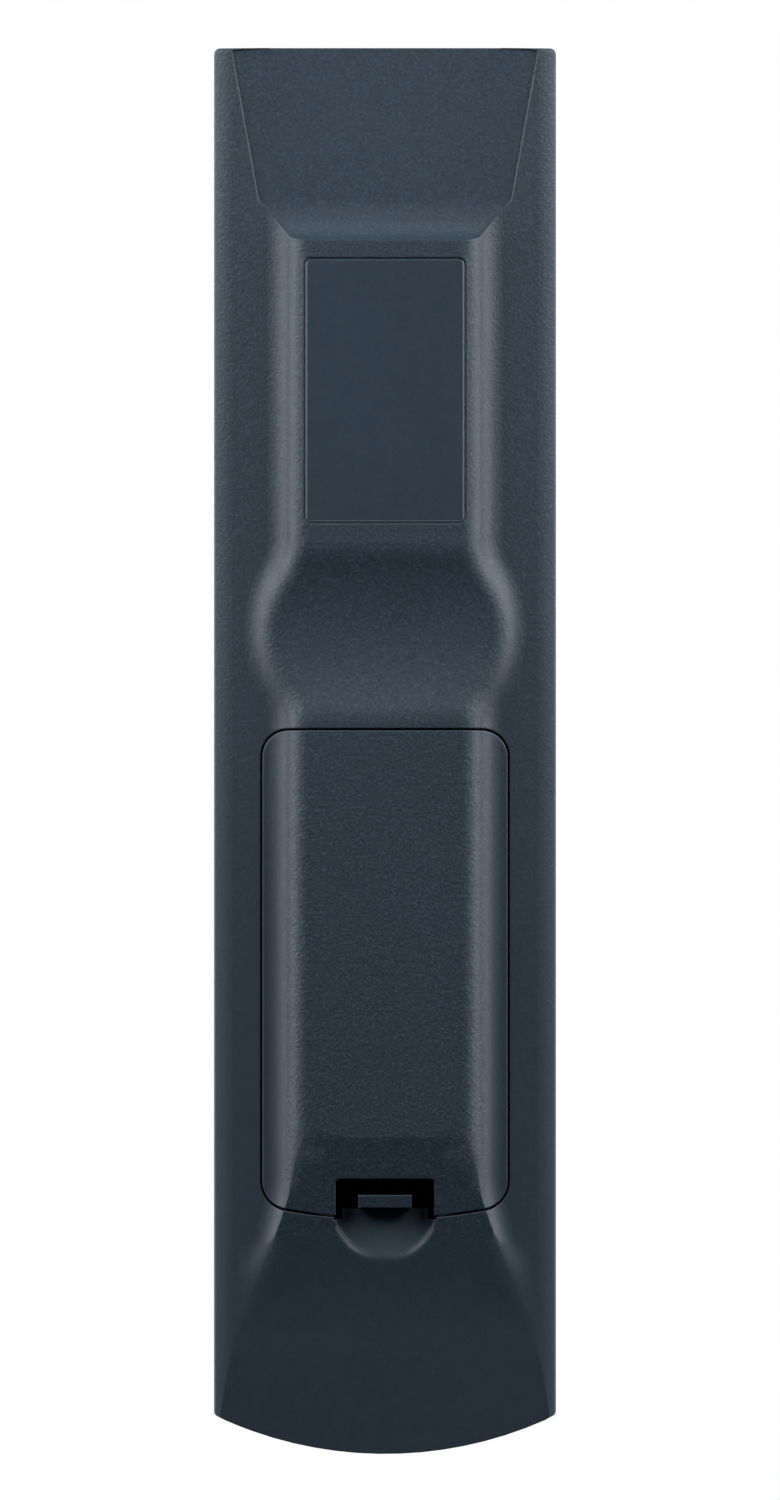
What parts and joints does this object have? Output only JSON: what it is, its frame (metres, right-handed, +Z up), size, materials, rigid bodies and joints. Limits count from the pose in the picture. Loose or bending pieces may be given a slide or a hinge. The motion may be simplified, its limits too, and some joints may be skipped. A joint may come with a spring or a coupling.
{
  "type": "television remote control",
  "caption": "Slim handheld infrared remote control: two-part case with a raised spine and finger dish on the back, latched battery cover and a rubber keypad with rocker keys.",
  "frame": {"origin": "centre of the bounding box in plan, on the flat of the back that the remote lies on", "axes": "+Z up out of the keys, +Y along the case towards the infrared window, +X across it"},
  "size_m": [0.05, 0.2056, 0.0253],
  "materials": {
    "case_back": "fine spark-eroded texture",
    "case_front": "fine spark-eroded texture",
    "smoked_window": "polished",
    "emitter_lens": "clear blue tint",
    "board": "green solder resist",
    "carbon": "printed carbon",
    "keypad_rubber": "moulded",
    "key_rubber": "moulded, fine satin",
    "key_silver": "moulded, fine satin",
    "power_red": "moulded, fine satin",
    "red_key_colour": "moulded, fine satin",
    "green_key_colour": "moulded, fine satin",
    "yellow_key_colour": "moulded, fine satin",
    "blue_key_colour": "moulded, fine satin",
    "cell_jacket": "printed jacket, plain",
    "spring_steel": "nickel plated",
    "screw_steel": "zinc plated",
    "chip_resin": "moulded epoxy",
    "resonator_case": "dipped",
    "capacitor_sleeve": "shrink sleeve"
  },
  "bodies": {
    "case": {"buffer_capacitor": "capacitor_sleeve", "ceramic_resonator": "resonator_case", "circuit_board": "board", "contact_bridge": "spring_steel", "contact_pads": "carbon", "contact_plates": "spring_steel", "contact_springs": "spring_steel", "controller_chip": "chip_resin", "emitter_driver": "chip_resin", "front_cover": "case_front", "housing_screws": "screw_steel", "ir_emitters": "emitter_lens", "ir_window": "smoked_window", "keypad_mat": "keypad_rubber", "left_cell": "cell_jacket", "rear_cover": "case_back", "right_cell": "cell_jacket"},
    "aspect_key_body": {"aspect_key": "key_rubber"},
    "back_key_body": {"back_key": "key_rubber"},
    "blue_key_body": {"blue_key": "blue_key_colour"},
    "dash_key_body": {"dash_key": "key_rubber"},
    "digit_0_key_body": {"digit_0_key": "key_rubber"},
    "digit_1_key_body": {"digit_1_key": "key_rubber"},
    "digit_2_key_body": {"digit_2_key": "key_rubber"},
    "digit_3_key_body": {"digit_3_key": "key_rubber"},
    "digit_4_key_body": {"digit_4_key": "key_rubber"},
    "digit_5_key_body": {"digit_5_key": "key_rubber"},
    "digit_6_key_body": {"digit_6_key": "key_rubber"},
    "digit_7_key_body": {"digit_7_key": "key_rubber"},
    "digit_8_key_body": {"digit_8_key": "key_rubber"},
    "digit_9_key_body": {"digit_9_key": "key_rubber"},
    "down_key_body": {"down_key": "key_rubber"},
    "exit_key_body": {"exit_key": "key_rubber"},
    "forward_key_body": {"forward_key": "key_rubber"},
    "green_key_body": {"green_key": "green_key_colour"},
    "guide_key_body": {"guide_key": "key_rubber"},
    "home_key_body": {"home_key": "key_rubber"},
    "input_key_body": {"input_key": "key_rubber"},
    "left_key_body": {"left_key": "key_rubber"},
    "menu_key_body": {"menu_key": "key_rubber"},
    "mute_key_body": {"mute_key": "key_rubber"},
    "pause_key_body": {"pause_key": "key_rubber"},
    "play_key_body": {"play_key": "key_rubber"},
    "power_key_body": {"power_key": "power_red"},
    "recall_key_body": {"recall_key": "key_rubber"},
    "record_key_body": {"record_key": "key_rubber"},
    "red_key_body": {"red_key": "red_key_colour"},
    "rewind_key_body": {"rewind_key": "key_rubber"},
    "right_key_body": {"right_key": "key_rubber"},
    "select_key_body": {"select_key": "key_silver"},
    "stop_key_body": {"stop_key": "key_rubber"},
    "up_key_body": {"up_key": "key_rubber"},
    "yellow_key_body": {"yellow_key": "yellow_key_colour"},
    "volume_rocker_body": {"volume_rocker": "key_rubber"},
    "channel_rocker_body": {"channel_rocker": "key_rubber"},
    "battery_cover_body": {"battery_cover": "case_back"},
    "battery_latch_body": {"battery_latch": "case_back"}
  },
  "joints": [
    {"name": "aspect_key_press", "type": "slide", "parent": "case", "child": "aspect_key_body", "axis": [0, 0, -1], "range_m": [0, 0.001], "stiffness_N_per_m": 1000, "deforming": ["keypad_mat"]},
    {"name": "back_key_press", "type": "slide", "parent": "case", "child": "back_key_body", "axis": [0, 0, -1], "range_m": [0, 0.001], "stiffness_N_per_m": 1000},
    {"name": "blue_key_press", "type": "slide", "parent": "case", "child": "blue_key_body", "axis": [0, 0, -1], "range_m": [0, 0.001], "stiffness_N_per_m": 1000},
    {"name": "dash_key_press", "type": "slide", "parent": "case", "child": "dash_key_body", "axis": [0, 0, -1], "range_m": [0, 0.001], "stiffness_N_per_m": 1000},
    {"name": "digit_0_key_press", "type": "slide", "parent": "case", "child": "digit_0_key_body", "axis": [0, 0, -1], "range_m": [0, 0.001], "stiffness_N_per_m": 1000},
    {"name": "digit_1_key_press", "type": "slide", "parent": "case", "child": "digit_1_key_body", "axis": [0, 0, -1], "range_m": [0, 0.001], "stiffness_N_per_m": 1000},
    {"name": "digit_2_key_press", "type": "slide", "parent": "case", "child": "digit_2_key_body", "axis": [0, 0, -1], "range_m": [0, 0.001], "stiffness_N_per_m": 1000},
    {"name": "digit_3_key_press", "type": "slide", "parent": "case", "child": "digit_3_key_body", "axis": [0, 0, -1], "range_m": [0, 0.001], "stiffness_N_per_m": 1000},
    {"name": "digit_4_key_press", "type": "slide", "parent": "case", "child": "digit_4_key_body", "axis": [0, 0, -1], "range_m": [0, 0.001], "stiffness_N_per_m": 1000},
    {"name": "digit_5_key_press", "type": "slide", "parent": "case", "child": "digit_5_key_body", "axis": [0, 0, -1], "range_m": [0, 0.001], "stiffness_N_per_m": 1000},
    {"name": "digit_6_key_press", "type": "slide", "parent": "case", "child": "digit_6_key_body", "axis": [0, 0, -1], "range_m": [0, 0.001], "stiffness_N_per_m": 1000},
    {"name": "digit_7_key_press", "type": "slide", "parent": "case", "child": "digit_7_key_body", "axis": [0, 0, -1], "range_m": [0, 0.001], "stiffness_N_per_m": 1000},
    {"name": "digit_8_key_press", "type": "slide", "parent": "case", "child": "digit_8_key_body", "axis": [0, 0, -1], "range_m": [0, 0.001], "stiffness_N_per_m": 1000},
    {"name": "digit_9_key_press", "type": "slide", "parent": "case", "child": "digit_9_key_body", "axis": [0, 0, -1], "range_m": [0, 0.001], "stiffness_N_per_m": 1000},
    {"name": "down_key_press", "type": "slide", "parent": "case", "child": "down_key_body", "axis": [0, 0, -1], "range_m": [0, 0.001], "stiffness_N_per_m": 1000},
    {"name": "exit_key_press", "type": "slide", "parent": "case", "child": "exit_key_body", "axis": [0, 0, -1], "range_m": [0, 0.001], "stiffness_N_per_m": 1000},
    {"name": "forward_key_press", "type": "slide", "parent": "case", "child": "forward_key_body", "axis": [0, 0, -1], "range_m": [0, 0.001], "stiffness_N_per_m": 1000},
    {"name": "green_key_press", "type": "slide", "parent": "case", "child": "green_key_body", "axis": [0, 0, -1], "range_m": [0, 0.001], "stiffness_N_per_m": 1000},
    {"name": "guide_key_press", "type": "slide", "parent": "case", "child": "guide_key_body", "axis": [0, 0, -1], "range_m": [0, 0.001], "stiffness_N_per_m": 1000},
    {"name": "home_key_press", "type": "slide", "parent": "case", "child": "home_key_body", "axis": [0, 0, -1], "range_m": [0, 0.001], "stiffness_N_per_m": 1000},
    {"name": "input_key_press", "type": "slide", "parent": "case", "child": "input_key_body", "axis": [0, 0, -1], "range_m": [0, 0.001], "stiffness_N_per_m": 1000},
    {"name": "left_key_press", "type": "slide", "parent": "case", "child": "left_key_body", "axis": [0, 0, -1], "range_m": [0, 0.001], "stiffness_N_per_m": 1000},
    {"name": "menu_key_press", "type": "slide", "parent": "case", "child": "menu_key_body", "axis": [0, 0, -1], "range_m": [0, 0.001], "stiffness_N_per_m": 1000},
    {"name": "mute_key_press", "type": "slide", "parent": "case", "child": "mute_key_body", "axis": [0, 0, -1], "range_m": [0, 0.001], "stiffness_N_per_m": 1000},
    {"name": "pause_key_press", "type": "slide", "parent": "case", "child": "pause_key_body", "axis": [0, 0, -1], "range_m": [0, 0.001], "stiffness_N_per_m": 1000},
    {"name": "play_key_press", "type": "slide", "parent": "case", "child": "play_key_body", "axis": [0, 0, -1], "range_m": [0, 0.001], "stiffness_N_per_m": 1000},
    {"name": "power_key_press", "type": "slide", "parent": "case", "child": "power_key_body", "axis": [0, 0, -1], "range_m": [0, 0.001], "stiffness_N_per_m": 1000},
    {"name": "recall_key_press", "type": "slide", "parent": "case", "child": "recall_key_body", "axis": [0, 0, -1], "range_m": [0, 0.001], "stiffness_N_per_m": 1000},
    {"name": "record_key_press", "type": "slide", "parent": "case", "child": "record_key_body", "axis": [0, 0, -1], "range_m": [0, 0.001], "stiffness_N_per_m": 1000},
    {"name": "red_key_press", "type": "slide", "parent": "case", "child": "red_key_body", "axis": [0, 0, -1], "range_m": [0, 0.001], "stiffness_N_per_m": 1000},
    {"name": "rewind_key_press", "type": "slide", "parent": "case", "child": "rewind_key_body", "axis": [0, 0, -1], "range_m": [0, 0.001], "stiffness_N_per_m": 1000},
    {"name": "right_key_press", "type": "slide", "parent": "case", "child": "right_key_body", "axis": [0, 0, -1], "range_m": [0, 0.001], "stiffness_N_per_m": 1000},
    {"name": "select_key_press", "type": "slide", "parent": "case", "child": "select_key_body", "axis": [0, 0, -1], "range_m": [0, 0.001], "stiffness_N_per_m": 1000},
    {"name": "stop_key_press", "type": "slide", "parent": "case", "child": "stop_key_body", "axis": [0, 0, -1], "range_m": [0, 0.001], "stiffness_N_per_m": 1000},
    {"name": "up_key_press", "type": "slide", "parent": "case", "child": "up_key_body", "axis": [0, 0, -1], "range_m": [0, 0.001], "stiffness_N_per_m": 1000},
    {"name": "yellow_key_press", "type": "slide", "parent": "case", "child": "yellow_key_body", "axis": [0, 0, -1], "range_m": [0, 0.001], "stiffness_N_per_m": 1000},
    {"name": "volume_rocker_rock", "type": "hinge", "parent": "case", "child": "volume_rocker_body", "pos_m": [-0.014, 0.018, 0.0212], "axis": [1, 0, 0], "range_deg": [-2.5, 2.5], "stiffness_Nm_per_rad": 0.28},
    {"name": "channel_rocker_rock", "type": "hinge", "parent": "case", "child": "channel_rocker_body", "pos_m": [0.014, 0.018, 0.0212], "axis": [1, 0, 0], "range_deg": [-2.5, 2.5], "stiffness_Nm_per_rad": 0.28},
    {"name": "battery_cover_hinge", "type": "hinge", "parent": "case", "child": "battery_cover_body", "pos_m": [0, 0.0029, 0], "axis": [1, 0, 0], "range_deg": [0, 32], "deforming": ["battery_latch"]},
    {"name": "battery_latch_press", "type": "hinge", "parent": "battery_cover_body", "child": "battery_latch_body", "pos_m": [0, -0.0616, 0.0127], "axis": [1, 0, 0], "range_deg": [0, 8.5], "stiffness_Nm_per_rad": 0.25}
  ]
}
